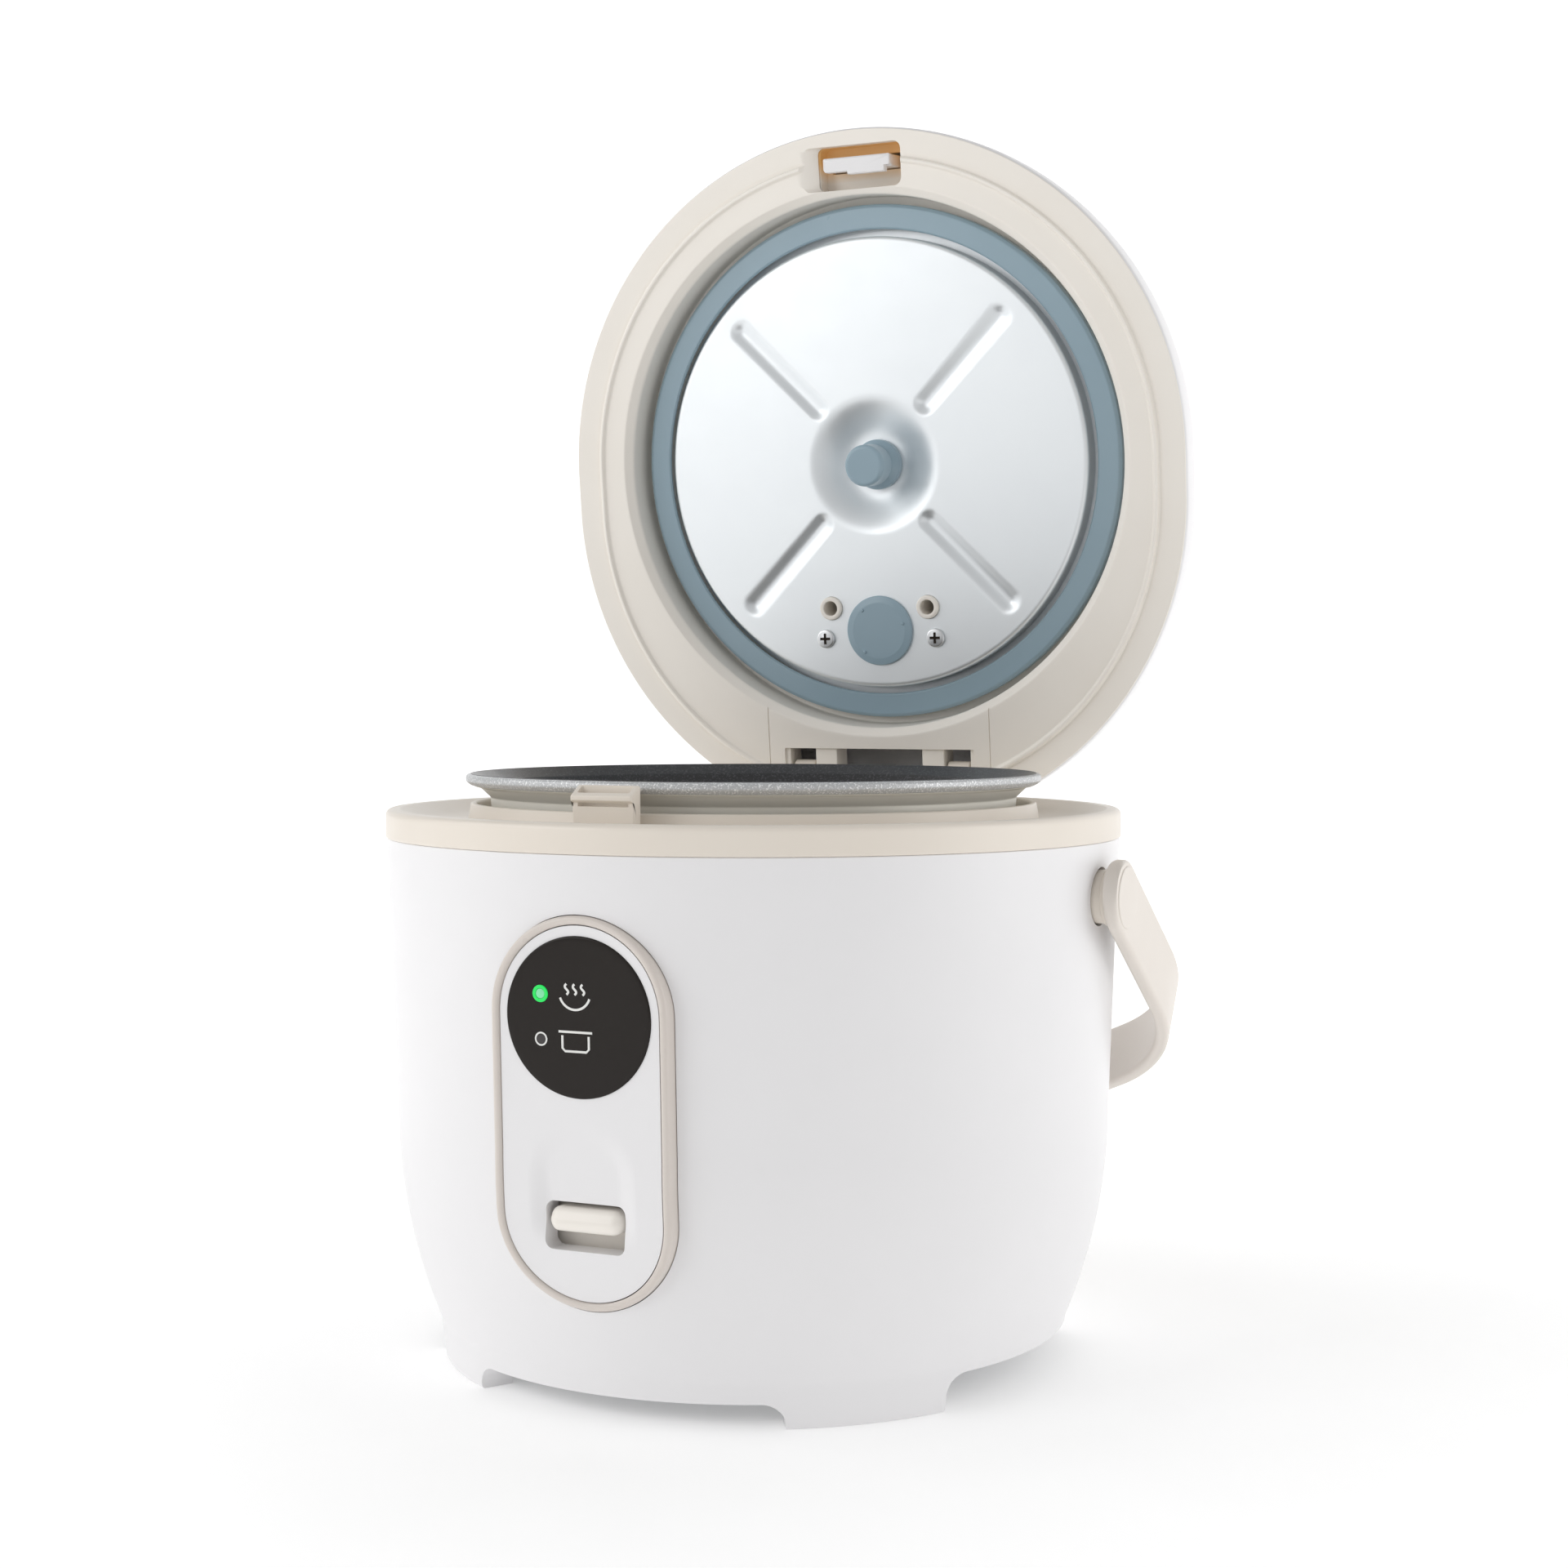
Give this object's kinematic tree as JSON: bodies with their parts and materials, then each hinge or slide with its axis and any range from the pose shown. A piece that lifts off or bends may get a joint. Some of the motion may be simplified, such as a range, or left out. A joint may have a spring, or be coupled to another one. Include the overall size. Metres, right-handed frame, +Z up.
{
  "type": "rice cooker",
  "caption": "Round electric rice cooker with hinged domed lid, lift-out pot, stadium control panel, cook lever and bail handle.",
  "frame": {"origin": "on the table, under the centre of the round body, between the four feet", "axes": "+Z up, -Y towards the control panel and latch, +Y towards the lid hinge and mains inlet, X along the hinge and the handle pivots"},
  "size_m": [0.2128, 0.2206, 0.3463],
  "materials": {
    "white_plastic": "smooth, slightly glossy",
    "cream_plastic": "satin",
    "black_plastic": "high gloss",
    "lamp_lens_green": "clear, lit",
    "lamp_lens_dark": "clear, unlit",
    "pot_coating": "non-stick, speckled",
    "satin_aluminium": "satin",
    "silicone": "matt",
    "steel": "bright",
    "tinplate": "dull",
    "cast_aluminium": "cast, dull",
    "dark_plastic": "matt",
    "grey_plastic": "matt",
    "circuit_board": "matt",
    "brass": "bright"
  },
  "bodies": {
    "body": {"outer_shell": "white_plastic", "base_cover": "grey_plastic", "base_screws": "steel", "top_ring": "cream_plastic", "hinge_pin": "steel", "panel_trim": "cream_plastic", "control_panel": "white_plastic", "indicator_disc": "black_plastic", "lamp_upper": "lamp_lens_green", "lamp_lower": "lamp_lens_dark", "lamp_board": "circuit_board", "switch_bracket": "tinplate", "lever_pin": "steel", "micro_switch": "dark_plastic", "heat_can": "tinplate", "heating_plate": "cast_aluminium", "plate_posts": "steel", "thermostat_body": "steel", "sensor_spring": "steel", "plunger_spring": "steel", "thermal_fuse": "steel", "power_inlet": "dark_plastic", "inlet_pins": "brass", "pivot_boss_left": "cream_plastic", "pivot_boss_right": "cream_plastic", "pivot_screws": "steel"},
    "lid": {"lid_cover": "white_plastic", "steam_vent": "cream_plastic", "lid_frame": "cream_plastic", "lid_deck": "cream_plastic", "inner_plate": "satin_aluminium", "lid_seal": "silicone", "centre_grommet": "silicone", "steam_pad": "silicone", "plate_screws": "steel", "hinge_spring": "steel", "latch_pin": "steel", "latch_spring": "steel"},
    "latch": {"latch_hook": "white_plastic", "release_button": "cream_plastic"},
    "pot": {"inner_pot": "pot_coating"},
    "cook_lever": {"switch_lever": "steel", "switch_paddle": "white_plastic"},
    "plunger_rod": {"plunger": "steel"},
    "sensor": {"sensor_cap": "satin_aluminium", "sensor_magnet": "dark_plastic"},
    "handle": {"carry_handle": "cream_plastic", "pivot_cap_left": "cream_plastic", "pivot_cap_right": "cream_plastic"}
  },
  "joints": [
    {"name": "lid_hinge", "type": "hinge", "parent": "body", "child": "lid", "pos_m": [0, 0.095, 0.1541], "axis": [-1, 0, 0], "range_deg": [-83.3, 0], "stiffness_Nm_per_rad": 0.12, "springref_deg": 45.84},
    {"name": "latch_rock", "type": "hinge", "parent": "lid", "child": "latch", "pos_m": [0, 0.08336, 0.338], "axis": [1, 0, 0], "range_deg": [-8, 0], "stiffness_Nm_per_rad": 0.3, "springref_deg": 5.73},
    {"name": "pot_lift", "type": "slide", "parent": "body", "child": "pot", "axis": [0, -0.03, 0.9995], "range_m": [0, 0.105]},
    {"name": "cook_press", "type": "hinge", "parent": "body", "child": "cook_lever", "pos_m": [0, -0.045, 0.0365], "axis": [1, 0, 0], "range_deg": [0, 4.7], "stiffness_Nm_per_rad": 0.5, "springref_deg": -5.73},
    {"name": "plunger_slide", "type": "slide", "parent": "body", "child": "plunger_rod", "axis": [0, 0, 1], "range_m": [0, 0.00326], "deforming": ["plunger_spring"]},
    {"name": "sensor_sink", "type": "slide", "parent": "body", "child": "sensor", "axis": [0, 0, 1], "range_m": [-0.002, 0], "stiffness_N_per_m": 400, "springref_m": 0.003, "deforming": ["sensor_spring"]},
    {"name": "handle_swing", "type": "hinge", "parent": "body", "child": "handle", "pos_m": [0, 0, 0.1265], "axis": [1, 0, 0], "range_deg": [0, 42]}
  ],
  "couplings": [
    {"joint": "cook_press", "follows": "plunger_slide", "rad_per_m": 22.99}
  ]
}
